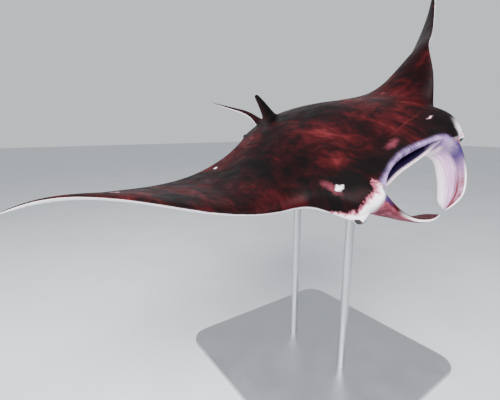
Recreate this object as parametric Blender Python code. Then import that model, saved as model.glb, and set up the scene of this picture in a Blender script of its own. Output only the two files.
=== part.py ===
"""A reef manta ray gliding with its mouth open, life size, held up by a plain display stand.

The animal is drawn in its own frame, in disc widths: x runs ahead of the mouth line, y to its left, z up
its back. One cage of quads makes the whole body: sections swept from wing tip to wing tip, with the mouth,
cephalic lobes, tail, dorsal fin and pelvic fins extruded from it. The cage is bent into the pose, subdivided
once and parted with thin cuts. The world has +Z up, the head towards -Y and the left wing towards +X.
"""

import math

import bmesh
import bpy
import numpy as np
from mathutils import Matrix, Vector

# Size and place, in metres and degrees
DISC_WIDTH = 3.2
GAP = 0.0003
# The smallest distance that two places on the cage or the mesh lie apart
NEAR = 1e-4
MOUTH_HEIGHT = 1.25
NOSE_DOWN = 11
BANK = 27

# Outline of half the disc laid flat: (distance out from the middle, distance ahead of the mouth line)
LEADING_EDGE = ((0.0, -0.058), (0.03, -0.053), (0.068, -0.036), (0.083, -0.026), (0.098, -0.027),
                (0.123, -0.031), (0.132, -0.058), (0.142, -0.09), (0.155, -0.1), (0.2, -0.106), (0.3, -0.13),
                (0.4, -0.19), (0.46, -0.243), (0.5, -0.31))
TRAILING_EDGE = ((0.0, -0.405), (0.05, -0.39), (0.1, -0.366), (0.2, -0.345), (0.3, -0.321), (0.4, -0.283),
                 (0.46, -0.275), (0.5, -0.312))
LEADING_HEIGHT = ((0.0, 0.01), (0.03, 0.013), (0.068, 0.021), (0.083, 0.015), (0.098, 0.007),
                  (0.123, -0.012), (0.132, -0.012), (0.142, -0.002), (0.155, 0.0), (0.5, 0.0))
BACK_HEIGHT = ((0.0, 0.054), (0.03, 0.0535), (0.057, 0.052), (0.08, 0.048), (0.104, 0.042), (0.125, 0.034),
               (0.15, 0.0265), (0.2, 0.0185), (0.25, 0.0135), (0.3, 0.0098), (0.36, 0.0068), (0.42, 0.0045),
               (0.485, 0.0024), (0.5, 0.0014))
BELLY_DEPTH = ((0.0, 0.05), (0.057, 0.048), (0.08, 0.044), (0.104, 0.036), (0.125, 0.027), (0.15, 0.019),
               (0.2, 0.0125), (0.25, 0.0095), (0.3, 0.0072), (0.36, 0.0052), (0.42, 0.0038), (0.485, 0.0023),
               (0.5, 0.0014))

# A section from its leading to its trailing edge: (fraction of the chord, height over the section's greatest)
WING_SECTION = ((0.0, 0.0), (0.03, 0.42), (0.1, 0.72), (0.2, 0.93), (0.32, 1.0), (0.45, 0.96), (0.59, 0.8),
                (0.73, 0.57), (0.87, 0.31), (1.0, 0.12))
BACK_SECTION = ((0.0, 0.25), (0.03, 0.5), (0.1, 0.7), (0.2, 0.87), (0.32, 0.97), (0.45, 1.0), (0.59, 0.93),
                (0.73, 0.74), (0.87, 0.47), (1.0, 0.17))
BELLY_SECTION = ((0.0, 0.25), (0.03, 0.3), (0.1, 0.38), (0.2, 0.62), (0.32, 0.88), (0.45, 1.0), (0.59, 0.9),
                 (0.73, 0.67), (0.87, 0.4), (1.0, 0.15))
# The body's own sections blend into the wing's between these stations
BODY_ENDS, WING_STARTS = 0.1, 0.2

# The cage's lines: stations out from the middle, and rows along the chord
STATIONS = (0.0, 0.012, 0.03, 0.05, 0.068, 0.083, 0.098, 0.123, 0.132, 0.142, 0.162, 0.195, 0.24, 0.3,
            0.36, 0.42, 0.46, 0.485, 0.5)
ROWS = (0.03, 0.1, 0.24, 0.42, 0.62, 0.79, 0.87, 0.94, 1.0)
MOUTH_CORNER, LOBE_OUTER, WING_ROOT, WING_MIDDLE = 0.068, 0.098, 0.142, 0.3
TAIL_HALF, PELVIC_INNER, PELVIC_OUTER = 0.012, 0.03, 0.068

# The pose: how far each wing's sections lean and twist (degrees) at stations out from the middle, and sweep
LEAN_STATIONS = (0.06, 0.15, 0.25, 0.35, 0.43, 0.5)
LEAN = {-1: (0, 8, 25, 37, 26, 37), 1: (0, -3, 10, 38, 64, 86)}
TWIST_STATIONS = (0.08, 0.14, 0.25, 0.38, 0.5)
TWIST = {-1: (0, 2, 7, 16, 37), 1: (0, 5, 48, 50, 53)}
SWEEP = {-1: -0.005, 1: -0.032}
TWIST_AXIS = -0.25
SWEEP_STARTS, SWEEP_LENGTH = 0.15, 0.35
BEND_STEPS = 40

# Mouth: the upper rim and the lower lip are arches between the two corners
RIM_MIDDLE = (-0.058, 0.028)
LIP_MIDDLE = (-0.059, -0.009)
CORNER = (-0.036, 0.021)
# (how far in, width, height of the opening), the last two over those of the mouth's edge
MOUTH_STEPS = ((0.008, 0.94, 0.72), (0.03, 0.9, 0.8), (0.075, 0.72, 0.6))

# Cephalic lobes: their front and rear edges from root to tip, drawn for the left side, and their thickness
LOBE_FRONT = {1: ((-0.022, 0.081, 0.016), (-0.006, 0.076, -0.005), (0.007, 0.061, -0.024),
                  (0.02, 0.032, -0.04), (0.013, 0.006, -0.048)),
              -1: ((-0.026, 0.079, 0.02), (-0.011, 0.076, -0.002), (0.005, 0.063, -0.024),
                   (0.016, 0.034, -0.04), (0.009, 0.007, -0.052))}
LOBE_REAR = {1: ((-0.056, 0.084, -0.024), (-0.038, 0.06, -0.042), (-0.023, 0.04, -0.057),
                 (-0.014, 0.022, -0.06), (0.003, 0.012, -0.062)),
             -1: ((-0.055, 0.084, -0.024), (-0.038, 0.058, -0.04), (-0.022, 0.037, -0.056),
                  (-0.012, 0.017, -0.056), (0.005, 0.006, -0.058))}
LOBE_STEPS = (0.1, 0.24, 0.4, 0.56, 0.72, 0.88, 1.0)
LOBE_THICKNESS = ((0.0, 0.024), (0.2, 0.014), (0.5, 0.008), (0.85, 0.006), (1.0, 0.004))
LOBE_FULLNESS = ((0.0, 1.0), (0.7, 1.0), (0.9, 0.8), (1.0, 0.45))
# How far along the lobe its direction is measured over, and how much its rounded corners are drawn in
LOBE_REACH, LOBE_ROUNDING = 0.02, 0.8

# Tail: distance behind its root, half width and half height, and how far it rises over the trailing edge
TAIL_RINGS = ((0.012, 0.0092, 0.0082), (0.03, 0.0072, 0.0068), (0.055, 0.0058, 0.0056),
              (0.085, 0.0048, 0.0048), (0.12, 0.0038, 0.0038), (0.155, 0.0029, 0.0029),
              (0.185, 0.0021, 0.0021), (0.21, 0.0014, 0.0014), (0.225, 0.0009, 0.0009))
TAIL_RISE, TAIL_RISE_LENGTH = 0.02, 0.06
# A ring's side corners, over its half width and half height, that round the tail
TAIL_SIDE, TAIL_SHOULDER = 0.9, 0.55
TAIL_PARTS = ((0.085, "tail_base"), (0.155, "tail_middle"), (1.0, "tail_end"))

# Dorsal fin: (height over its root, nose, heel, half thickness), all along the body
FIN_ROWS = (6, 8)
FIN_RINGS = ((0.009, -0.34, -0.39, 0.0055), (0.022, -0.354, -0.393, 0.004),
             (0.036, -0.37, -0.397, 0.0028), (0.049, -0.388, -0.402, 0.0017))
# How thin its two edges are, over its half thickness, and how far its rear edge droops
FIN_EDGE, FIN_DROOP = 0.4, 0.006

# Pelvic fins: (distance behind the trailing edge, inner side, outer side, half thickness)
PELVIC_RINGS = ((0.016, 0.031, 0.058, 0.0042), (0.028, 0.035, 0.055, 0.003), (0.038, 0.04, 0.05, 0.0018))
# How much it drops over its length, how thin its two sides are, and how far ahead of its middle they end
PELVIC_DROP, PELVIC_EDGE, PELVIC_ROUNDING = 0.2, 0.6, 0.006

# Eyes, in metres but for the place
EYE_PLACE = (-0.038, 0.115, -0.005)
EYE_RADIUS = 0.025
EYE_SEGMENTS, EYE_RINGS = 20, 12

# Where the head is cut from the trunk, and, in metres, how near the cut a corner is taken to lie on it
NECK = -0.088
SEAM_SNAP = 0.004

# The stand, in metres
BASE_SIZE = (1.25, 1.25, 0.024)
BASE_CORNER, BASE_BEVEL = 0.12, 0.004
BASE_CORNER_STEPS, BASE_BEVEL_STEPS = 8, 2
ROD_RADIUS, ROD_SIDES, SOCKET_DEPTH = 0.024, 32, 0.07
# How far over the base the cutters of the sockets start, well clear of the belly
SOCKET_CUTTER_START = 0.3
SHARP_ANGLE = math.radians(40)
ROD_PLACES = {"stand_rod_front": (-0.14, 0.0), "stand_rod_rear": (-0.275, 0.0)}

PARTS = ("head", "trunk", "wing_left_inner", "wing_left_outer", "wing_right_inner", "wing_right_outer",
         "cephalic_lobe_left", "cephalic_lobe_right", "dorsal_fin", "tail_base", "tail_middle", "tail_end",
         "pelvic_fin_left", "pelvic_fin_right")
COLOURS = {"head": (0.16, 0.03, 0.035), "trunk": (0.09, 0.016, 0.018), "cephalic": (0.55, 0.36, 0.48),
           "wing": (0.075, 0.013, 0.015), "dorsal": (0.1, 0.018, 0.02), "tail": (0.05, 0.015, 0.02),
           "pelvic": (0.12, 0.03, 0.035), "eye": (0.012, 0.01, 0.014), "stand": (0.55, 0.56, 0.58)}


def clear_scene():
    for old in list(bpy.data.objects):
        bpy.data.objects.remove(old)


def finish_of(name):
    kind = next(key for key in COLOURS if name.startswith(key))
    finish = bpy.data.materials.get(kind) or bpy.data.materials.new(kind)
    finish.use_nodes = True
    shader = finish.node_tree.nodes["Principled BSDF"]
    shader.inputs["Base Color"].default_value = (*COLOURS[kind], 1.0)
    shader.inputs["Roughness"].default_value = 0.15 if kind == "eye" else 0.45
    shader.inputs["Metallic"].default_value = 1.0 if kind == "stand" else 0.0
    return finish


def add_object(name, mesh):
    piece = bpy.data.objects.new(name, mesh)
    bpy.context.scene.collection.objects.link(piece)
    mesh.materials.clear()
    mesh.materials.append(finish_of(name))
    mesh.shade_smooth()
    return piece


def smooth(table, at):
    """A cubic through the table's (place, value) pairs that adds no bumps (Fritsch and Carlson)."""
    places, values = np.array(table, float).T
    widths, slopes = np.diff(places), np.diff(values) / np.diff(places)
    tangents = np.concatenate([slopes[:1], np.zeros(len(slopes) - 1), slopes[-1:]])
    for i in range(1, len(slopes)):
        if slopes[i - 1] * slopes[i] > 0:
            before, after = 2 * widths[i] + widths[i - 1], widths[i] + 2 * widths[i - 1]
            tangents[i] = (before + after) / (before / slopes[i - 1] + after / slopes[i])
    at = min(max(at, places[0]), places[-1])
    i = min(int(np.searchsorted(places, at, "right")) - 1, len(widths) - 1)
    t = (at - places[i]) / widths[i]
    rise = (1 - t) ** 2 * (tangents[i] * widths[i] * t + values[i] * (1 + 2 * t))
    return float(rise + t**2 * (values[i + 1] * (3 - 2 * t) - tangents[i + 1] * widths[i] * (1 - t)))


def smooth_curve(points, at):
    """A point part of the way along a smooth curve through the points, evenly spaced in its parameter."""
    steps = np.linspace(0, 1, len(points))
    return Vector([smooth(list(zip(steps, column)), at) for column in zip(*points)])


def world_frame():
    """Takes the animal's own frame, in disc widths, to the world, in metres."""
    turn = Matrix.Rotation(math.radians(-90), 4, "Z") @ Matrix.Rotation(math.radians(NOSE_DOWN), 4, "Y")
    turn = turn @ Matrix.Rotation(math.radians(BANK), 4, "X") @ Matrix.Scale(DISC_WIDTH, 4)
    feet = turn @ (sum((Vector((*place, 0)) for place in ROD_PLACES.values()), Vector()) / len(ROD_PLACES))
    return Matrix.Translation((-feet.x, -feet.y, MOUTH_HEIGHT)) @ turn


def span_place(out, side):
    """Where a station lies once its wing has bent: how far out, how high, and its section's lean."""
    steps = np.linspace(0.0, out, BEND_STEPS)
    lean = np.radians([smooth(list(zip(LEAN_STATIONS, LEAN[side])), step) for step in steps])
    middle = (lean[1:] + lean[:-1]) / 2
    length = np.diff(steps)
    return float(np.sum(np.cos(middle) * length)), float(np.sum(np.sin(middle) * length)), float(lean[-1])


def posed(x, out, height, side, place):
    """A point of the flat disc, moved with its section: bent up, swept, and twisted about the long axis."""
    y, z, lean = place
    x += SWEEP[side] * max(out - SWEEP_STARTS, 0.0) ** 1.5 / SWEEP_LENGTH**0.5
    twist = math.radians(smooth(list(zip(TWIST_STATIONS, TWIST[side])), out))
    ahead = x - TWIST_AXIS
    along = ahead * math.cos(twist) - height * math.sin(twist)
    lift = ahead * math.sin(twist) + height * math.cos(twist)
    return Vector((TWIST_AXIS + along, side * (y - math.sin(lean) * lift), z + math.cos(lean) * lift))


def section_points(out, side):
    """One ring of the cage: its leading edge, its rows along the back, then its rows along the belly."""
    place = span_place(out, side)
    nose, heel = smooth(LEADING_EDGE, out), smooth(TRAILING_EDGE, out)
    wing = min(max((out - BODY_ENDS) / (WING_STARTS - BODY_ENDS), 0.0), 1.0)
    back, belly = smooth(BACK_HEIGHT, out), smooth(BELLY_DEPTH, out)
    points = [posed(nose, out, smooth(LEADING_HEIGHT, out), side, place)]
    for row in ROWS:
        shape = smooth(BACK_SECTION, row) * (1 - wing) + smooth(WING_SECTION, row) * wing
        points.append(posed(nose + (heel - nose) * row, out, back * shape, side, place))
    for row in reversed(ROWS):
        shape = smooth(BELLY_SECTION, row) * (1 - wing) + smooth(WING_SECTION, row) * wing
        points.append(posed(nose + (heel - nose) * row, out, -belly * shape, side, place))
    return points


def sweep_disc(cage):
    """Skins the rings from the right wing tip to the left one, and closes both tips."""
    part = cage.faces.layers.int.new("part")
    rings = [[cage.verts.new(p) for p in section_points(out, -1)] for out in reversed(STATIONS[1:])]
    rings += [[cage.verts.new(p) for p in section_points(out, 1)] for out in STATIONS]
    outs = [-out for out in reversed(STATIONS[1:])] + list(STATIONS)
    count = len(rings[0])
    middles = [(near + far) / 2 for near, far in zip(outs, outs[1:])]
    for before, after, out in zip(rings, rings[1:], middles):
        side = "left" if out > 0 else "right"
        reach = "inner" if abs(out) < WING_MIDDLE else "outer"
        name = "trunk" if abs(out) < WING_ROOT else f"wing_{side}_{reach}"
        for i in range(count):
            face = cage.faces.new((before[i], before[i - 1], after[i - 1], after[i]))
            face[part] = PARTS.index(name)
    for ring, side in ((rings[0], -1), (rings[-1], 1)):
        for i in range(len(ROWS)):
            low, high = (-i) % count, (-i - 1) % count
            corners = [ring[i], ring[i + 1], ring[high]] + ([ring[low]] if i else [])
            face = cage.faces.new(corners[::side])
            face[part] = PARTS.index("wing_left_outer" if side > 0 else "wing_right_outer")
    return {round(out, 4): ring for out, ring in zip(outs, rings)}


def patch_between(cage, rings, low, high, first, last):
    """The faces between two stations and between two rows of their rings."""
    count = len(next(iter(rings.values())))
    inside = [rings[out] for out in rings if low - NEAR <= out <= high + NEAR]
    wanted = {ring[i % count] for ring in inside for i in range(first, last + 1)}
    return [face for face in cage.faces if all(corner in wanted for corner in face.verts)]


def grow(cage, faces, steps, names, measure, place):
    """Extrudes a patch once for each step. measure gives a corner its two numbers on the patch, and place
    turns a step and those numbers into a point."""
    across, along = cage.verts.layers.float.get("across"), cage.verts.layers.float.get("along")
    part = cage.faces.layers.int["part"]
    for corner in {corner for face in faces for corner in face.verts}:
        corner[across], corner[along] = measure(corner)
    for step, name in zip(steps, names):
        grown = bmesh.ops.extrude_face_region(cage, geom=faces)["geom"]
        bmesh.ops.delete(cage, geom=faces, context="FACES")
        faces = [item for item in grown if isinstance(item, bmesh.types.BMFace)]
        corners = {corner for face in faces for corner in face.verts}
        for corner in corners:
            corner.co = place(step, corner[across], corner[along])
        for face in {face for corner in corners for face in corner.link_faces}:
            face[part] = PARTS.index(name)


def between(value, low, high):
    """Where a value lies from low to high, as -1 to 1."""
    return 2 * (value - low) / (high - low) - 1


def arch(middle, side_way):
    """A point of the rim or lip, pulled to the corner of the mouth by its distance from the middle."""
    reach = abs(side_way)
    x = middle[0] + (CORNER[0] - middle[0]) * reach**2
    return Vector((x, side_way * MOUTH_CORNER, middle[1] + (CORNER[1] - middle[1]) * reach**3))


def open_mouth(cage, rings):
    """Sets the rim and the lip on their arches and pushes the space between them in."""
    for out, ring in rings.items():
        if abs(out) < MOUTH_CORNER:
            side_way = out / MOUTH_CORNER
            ring[1].co, ring[-1].co = arch(RIM_MIDDLE, side_way), arch(LIP_MIDDLE, side_way)
            ring[0].co = (ring[1].co + ring[-1].co) / 2
    level = {ring[i]: height for ring in rings.values() for i, height in ((0, 0), (1, 1), (-1, -1))}
    faces = patch_between(cage, rings, -MOUTH_CORNER, MOUTH_CORNER, -1, 1)

    def inside(step, side_way, height):
        depth, width, opening = step
        middle = (arch(RIM_MIDDLE, side_way) + arch(LIP_MIDDLE, side_way)) / 2
        half = (arch(RIM_MIDDLE, side_way) - arch(LIP_MIDDLE, side_way)) / 2
        point = middle + half * height * opening
        return Vector((point.x - depth, point.y * width, point.z))

    grow(cage, faces, MOUTH_STEPS, ["head"] * len(MOUTH_STEPS),
         lambda corner: (corner.co.y / MOUTH_CORNER, level[corner]), inside)


def grow_lobe(cage, rings, side):
    """A flat paddle between its front and rear edges, from the corner of the mouth."""
    low, high = sorted((side * MOUTH_CORNER, side * LOBE_OUTER))
    faces = patch_between(cage, rings, low, high, -2, 0)
    level = {ring[i]: height for ring in rings.values() for i, height in ((0, 1), (-1, 0), (-2, -1))}

    def paddle(step, outward, forward):
        front, rear = smooth_curve(LOBE_FRONT[side], step), smooth_curve(LOBE_REAR[side], step)
        ahead, behind = min(step + LOBE_REACH, 1), step - LOBE_REACH
        onward = smooth_curve(LOBE_FRONT[side], ahead) + smooth_curve(LOBE_REAR[side], ahead)
        onward -= smooth_curve(LOBE_FRONT[side], behind) + smooth_curve(LOBE_REAR[side], behind)
        outer = (front - rear).cross(onward).normalized()
        fullness, thickness = smooth(LOBE_FULLNESS, step), smooth(LOBE_THICKNESS, step)
        width = forward * fullness * (LOBE_ROUNDING if outward and forward else 1.0)
        point = (front + rear) / 2 + (front - rear) / 2 * width + outer * outward * thickness / 2
        return Vector((point.x, side * point.y, point.z))

    name = "cephalic_lobe_left" if side > 0 else "cephalic_lobe_right"
    outward = {corner: round(between(abs(corner.co.y), MOUTH_CORNER, LOBE_OUTER))
               for face in faces for corner in face.verts}
    grow(cage, faces, LOBE_STEPS, ["head"] + [name] * (len(LOBE_STEPS) - 1),
         lambda corner: (outward[corner], level[corner]), paddle)


def grow_tail(cage, rings):
    faces = patch_between(cage, rings, -TAIL_HALF, TAIL_HALF, len(ROWS), len(ROWS) + 1)
    root = smooth(TRAILING_EDGE, 0.0)
    level = {ring[len(ROWS) + i]: 1 - 2 * i for ring in rings.values() for i in (0, 1)}

    def ring_point(step, side_way, up):
        behind, half_width, half_height = step
        rise = TAIL_RISE * (1 - (1 - min(behind / TAIL_RISE_LENGTH, 1)) ** 2)
        shoulder = TAIL_SHOULDER if side_way else 1.0
        return Vector((root - behind, side_way * half_width * TAIL_SIDE, rise + up * half_height * shoulder))

    names = [next(name for end, name in TAIL_PARTS if ring[0] <= end) for ring in TAIL_RINGS]
    grow(cage, faces, TAIL_RINGS, names,
         lambda corner: (round(corner.co.y / TAIL_HALF), level[corner]), ring_point)


def grow_dorsal_fin(cage, rings):
    first, last = FIN_ROWS
    faces = patch_between(cage, rings, -TAIL_HALF, TAIL_HALF, first, last)
    root_height = rings[0.0][(first + last) // 2].co.z
    level = {ring[i]: between(i, last, first) for ring in rings.values() for i in range(first, last + 1)}

    def ring_point(step, side_way, forward):
        height, nose, heel, half = step
        x = (nose + heel) / 2 + (nose - heel) / 2 * forward
        thin = FIN_EDGE if abs(forward) == 1 else 1.0
        return Vector((x, side_way * half * thin, root_height + height - FIN_DROOP * (1 - forward) / 2))

    grow(cage, faces, FIN_RINGS, ["dorsal_fin"] * len(FIN_RINGS),
         lambda corner: (round(corner.co.y / TAIL_HALF), level[corner]), ring_point)


def grow_pelvic_fin(cage, rings, side):
    low, high = sorted((side * PELVIC_INNER, side * PELVIC_OUTER))
    faces = patch_between(cage, rings, low, high, len(ROWS), len(ROWS) + 1)
    root = smooth(TRAILING_EDGE, PELVIC_OUTER)
    level = {ring[len(ROWS) + i]: 1 - 2 * i for ring in rings.values() for i in (0, 1)}

    def ring_point(step, outward, up):
        behind, inner, outer, half = step
        y = (inner + outer) / 2 + (outer - inner) / 2 * outward
        height = up * half * (PELVIC_EDGE if outward else 1.0) - PELVIC_DROP * behind
        return Vector((root - behind + PELVIC_ROUNDING * abs(outward), side * y, height))

    name = "pelvic_fin_left" if side > 0 else "pelvic_fin_right"
    outward = {corner: round(between(abs(corner.co.y), PELVIC_INNER, PELVIC_OUTER))
               for face in faces for corner in face.verts}
    grow(cage, faces, PELVIC_RINGS, [name] * len(PELVIC_RINGS),
         lambda corner: (outward[corner], level[corner]), ring_point)


def build_body():
    """The whole animal as one closed, once subdivided mesh in the world, each face marked with its part."""
    cage = bmesh.new()
    cage.verts.layers.float.new("across")
    cage.verts.layers.float.new("along")
    rings = sweep_disc(cage)
    open_mouth(cage, rings)
    for side in (-1, 1):
        grow_lobe(cage, rings, side)
        grow_pelvic_fin(cage, rings, side)
    grow_tail(cage, rings)
    grow_dorsal_fin(cage, rings)
    bmesh.ops.recalc_face_normals(cage, faces=cage.faces)
    cage.transform(world_frame())
    part = cage.faces.layers.int["part"]
    for face in cage.faces:
        face.material_index = face[part]
    mesh = bpy.data.meshes.new("cage")
    cage.to_mesh(mesh)
    cage.free()
    body = bpy.data.objects.new("cage", mesh)
    bpy.context.scene.collection.objects.link(body)
    for _ in PARTS:
        mesh.materials.append(None)
    rounding = body.modifiers.new("rounding", "SUBSURF")
    rounding.levels = rounding.render_levels = 1
    graph = bpy.context.evaluated_depsgraph_get()
    rounded = bmesh.new()
    rounded.from_mesh(body.evaluated_get(graph).to_mesh())
    bpy.data.objects.remove(body)
    return rounded


def cut_neck(body):
    """Splits the head's faces from the trunk's along one plane, and marks those ahead of it."""
    frame = world_frame()
    point, normal = frame @ Vector((NECK, 0, 0)), (frame.to_3x3() @ Vector((1, 0, 0))).normalized()
    trunk = [face for face in body.faces if PARTS[face.material_index] == "trunk"]
    geometry = set(trunk)
    for face in trunk:
        geometry.update(face.edges, face.verts)
    bmesh.ops.bisect_plane(body, geom=list(geometry), plane_co=point, plane_no=normal, dist=SEAM_SNAP)
    for face in body.faces:
        ahead = (face.calc_center_median() - point).dot(normal) > 0
        if PARTS[face.material_index] == "trunk" and ahead:
            face.material_index = PARTS.index("head")


def edge_loops(edges):
    """Sorts open edges into closed loops of vertices."""
    left, loops = set(edges), []
    while left:
        edge = left.pop()
        loop = [edge.verts[0], edge.verts[1]]
        while loop[-1] is not loop[0]:
            edge = next(e for e in loop[-1].link_edges if e in left)
            left.remove(edge)
            loop.append(edge.other_vert(loop[-1]))
        loops.append(loop[:-1])
    return loops


def flatten(corners):
    """Moves a loop's corners onto the plane nearest to them all, and gives that plane."""
    points = np.array([corner.co for corner in corners])
    centre = points.mean(axis=0)
    normal = np.linalg.svd(points - centre)[2][2]
    for corner, point in zip(corners, points):
        corner.co = Vector(point - normal * np.dot(point - centre, normal))
    return Vector(centre), Vector(normal)


def flatten_seams(body):
    seams = [edge for edge in body.edges if len({face.material_index for face in edge.link_faces}) == 2]
    pairs = {}
    for edge in seams:
        pairs.setdefault(tuple(sorted(face.material_index for face in edge.link_faces)), []).append(edge)
    for edges in pairs.values():
        for loop in edge_loops(edges):
            flatten(loop)


def part_out(body, index):
    """One part's faces as a solid of their own: its open loops drawn back by half a gap and capped."""
    piece = body.copy()
    others = [face for face in piece.faces if face.material_index != index]
    bmesh.ops.delete(piece, geom=others, context="FACES")
    whole = np.mean([corner.co for corner in piece.verts], axis=0)
    for loop in edge_loops([edge for edge in piece.edges if edge.is_boundary]):
        centre, normal = flatten(loop)
        inward = normal if (Vector(whole) - centre).dot(normal) > 0 else -normal
        for corner in loop:
            corner.co += inward * GAP / 2
        piece.faces.new(loop)
    bmesh.ops.recalc_face_normals(piece, faces=piece.faces)
    mesh = bpy.data.meshes.new(PARTS[index])
    piece.to_mesh(mesh)
    piece.free()
    return add_object(PARTS[index], mesh)


def add_ball(name, centre, radius):
    mesh = bpy.data.meshes.new(name)
    ball = bmesh.new()
    bmesh.ops.create_uvsphere(ball, u_segments=EYE_SEGMENTS, v_segments=EYE_RINGS, radius=radius)
    ball.transform(Matrix.Translation(centre))
    ball.to_mesh(mesh)
    ball.free()
    return add_object(name, mesh)


def add_rod(name, foot, top, radius):
    mesh = bpy.data.meshes.new(name)
    rod = bmesh.new()
    bmesh.ops.create_cone(rod, cap_ends=True, segments=ROD_SIDES, radius1=radius, radius2=radius,
                          depth=top.z - foot.z)
    rod.transform(Matrix.Translation((foot + top) / 2))
    rod.to_mesh(mesh)
    rod.free()
    piece = add_object(name, mesh)
    mesh.set_sharp_from_angle(angle=SHARP_ANGLE)
    return piece


def hide(cutter):
    cutter.hide_render = True
    cutter.display_type = "WIRE"


def cut(piece, cutter):
    hide(cutter)
    hole = piece.modifiers.new("cut", "BOOLEAN")
    hole.object = cutter
    hole.operation = "DIFFERENCE"
    hole.solver = "EXACT"


def add_eyes(head):
    frame = world_frame()
    for side, name in ((1, "eye_left"), (-1, "eye_right")):
        place = frame @ Vector((EYE_PLACE[0], side * EYE_PLACE[1], EYE_PLACE[2]))
        add_ball(name, place, EYE_RADIUS)
        cut(head, add_ball(f"{name}_socket", place, EYE_RADIUS + GAP))


def belly_height(trunk, x, y):
    """The height of the lowest skin straight above a place on the floor."""
    hit, spot, _, _ = trunk.ray_cast(Vector((x, y, -1.0)), Vector((0, 0, 1)))
    if not hit:
        raise ValueError("the rod misses the belly")
    return spot.z


def add_stand(trunk):
    frame = world_frame()
    feet = {name: frame @ Vector((*place, 0.0)) for name, place in ROD_PLACES.items()}
    middle = sum(feet.values(), Vector()) / len(feet)
    base = bmesh.new()
    bmesh.ops.create_cube(base, size=1.0)
    bmesh.ops.scale(base, vec=BASE_SIZE, verts=base.verts)
    upright = [e for e in base.edges if abs(e.verts[0].co.z - e.verts[1].co.z) > BASE_SIZE[2] / 2]
    bmesh.ops.bevel(base, geom=upright, offset=BASE_CORNER, segments=BASE_CORNER_STEPS, profile=0.5,
                    affect="EDGES")
    rim = [e for e in base.edges if e.verts[0].co.z > 0 and e.verts[1].co.z > 0 and e.calc_face_angle(0) > 1]
    bmesh.ops.bevel(base, geom=rim, offset=BASE_BEVEL, segments=BASE_BEVEL_STEPS, profile=0.5, affect="EDGES")
    base.transform(Matrix.Translation((middle.x, middle.y, BASE_SIZE[2] / 2)))
    mesh = bpy.data.meshes.new("stand_base")
    base.to_mesh(mesh)
    base.free()
    add_object("stand_base", mesh)
    mesh.set_sharp_from_angle(angle=SHARP_ANGLE)
    bpy.context.view_layer.update()
    for name, foot in feet.items():
        foot.z = BASE_SIZE[2] + GAP
        top = Vector((foot.x, foot.y, belly_height(trunk, foot.x, foot.y) + SOCKET_DEPTH))
        add_rod(name, foot, top, ROD_RADIUS)
        below = Vector((foot.x, foot.y, foot.z + SOCKET_CUTTER_START))
        above = Vector((foot.x, foot.y, top.z + GAP))
        cut(trunk, add_rod(f"{name}_socket", below, above, ROD_RADIUS + GAP))


def main():
    clear_scene()
    body = build_body()
    cut_neck(body)
    flatten_seams(body)
    pieces = {name: part_out(body, index) for index, name in enumerate(PARTS)}
    body.free()
    add_eyes(pieces["head"])
    add_stand(pieces["trunk"])


main()
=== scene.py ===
# %% [markdown]
# # A reef manta ray on its display stand
#
# The animal is one soft, seamless body, so one skin covers the whole of it. This lesson draws that skin
# as a coarse cage of quads, bends the cage into the pose, rounds it with subdivision, and paints it with
# procedural colour.

import math

import bmesh
import bpy
import numpy as np
from mathutils import Matrix, Vector


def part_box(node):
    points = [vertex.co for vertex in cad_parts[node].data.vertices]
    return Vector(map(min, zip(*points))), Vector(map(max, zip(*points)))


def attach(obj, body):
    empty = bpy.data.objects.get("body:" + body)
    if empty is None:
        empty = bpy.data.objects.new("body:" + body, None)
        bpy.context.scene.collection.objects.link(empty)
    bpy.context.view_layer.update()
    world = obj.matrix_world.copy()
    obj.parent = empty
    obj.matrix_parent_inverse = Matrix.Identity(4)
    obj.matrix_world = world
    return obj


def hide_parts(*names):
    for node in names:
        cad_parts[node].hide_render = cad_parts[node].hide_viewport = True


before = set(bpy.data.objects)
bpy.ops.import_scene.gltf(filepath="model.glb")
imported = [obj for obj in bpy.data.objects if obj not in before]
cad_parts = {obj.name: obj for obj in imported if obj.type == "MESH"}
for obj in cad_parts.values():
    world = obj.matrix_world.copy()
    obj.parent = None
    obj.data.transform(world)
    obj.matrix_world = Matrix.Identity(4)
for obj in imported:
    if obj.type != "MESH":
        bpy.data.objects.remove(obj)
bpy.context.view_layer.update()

# %% [markdown]
# ## The animal's own frame
#
# A ray is easiest to draw flat and level, in units of its own width: x runs ahead of the mouth, y to its
# left and z up its back. One matrix then turns, banks and scales that drawing into the room, in metres. A
# Mapping node can undo the same matrix later, so the markings are placed in the animal's own units as
# well.

# %% Where the animal's frame sits in the room
DISC_WIDTH = 3.2
NOSE_DOWN, BANK, HEADING = 11, 27, -90
MOUTH_PLACE = Vector((0.0, -0.6518, 1.25))

TURN = Matrix.Rotation(math.radians(HEADING), 4, "Z") @ Matrix.Rotation(math.radians(NOSE_DOWN), 4, "Y")
TURN = TURN @ Matrix.Rotation(math.radians(BANK), 4, "X")
TO_ROOM = Matrix.Translation(MOUTH_PLACE) @ TURN @ Matrix.Scale(DISC_WIDTH, 4)
print("the mouth is", round(MOUTH_PLACE.z, 2), "m above the floor")

# %% [markdown]
# ## The camera
#
# The camera goes in early, so every later step can be judged through it. It stands ahead of the animal's
# right side, a little above it, and looks slightly down. A short lens close by gives the strong
# perspective.

# %% Add the camera
CAMERA_PLACE = (-1.458, -1.304, 1.468)
CAMERA_HEADING, CAMERA_DIP = 35.2, 12.5
LENS, CLIP_START = 23.2, 0.02

bpy.ops.object.camera_add(location=CAMERA_PLACE,
                          rotation=(math.radians(90 - CAMERA_DIP), 0, math.radians(-CAMERA_HEADING)))
camera = bpy.context.object
camera.name = "camera"
camera.data.lens = LENS
camera.data.clip_start = CLIP_START
bpy.context.scene.camera = camera
print("lens", LENS, "mm at", CAMERA_PLACE)

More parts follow.
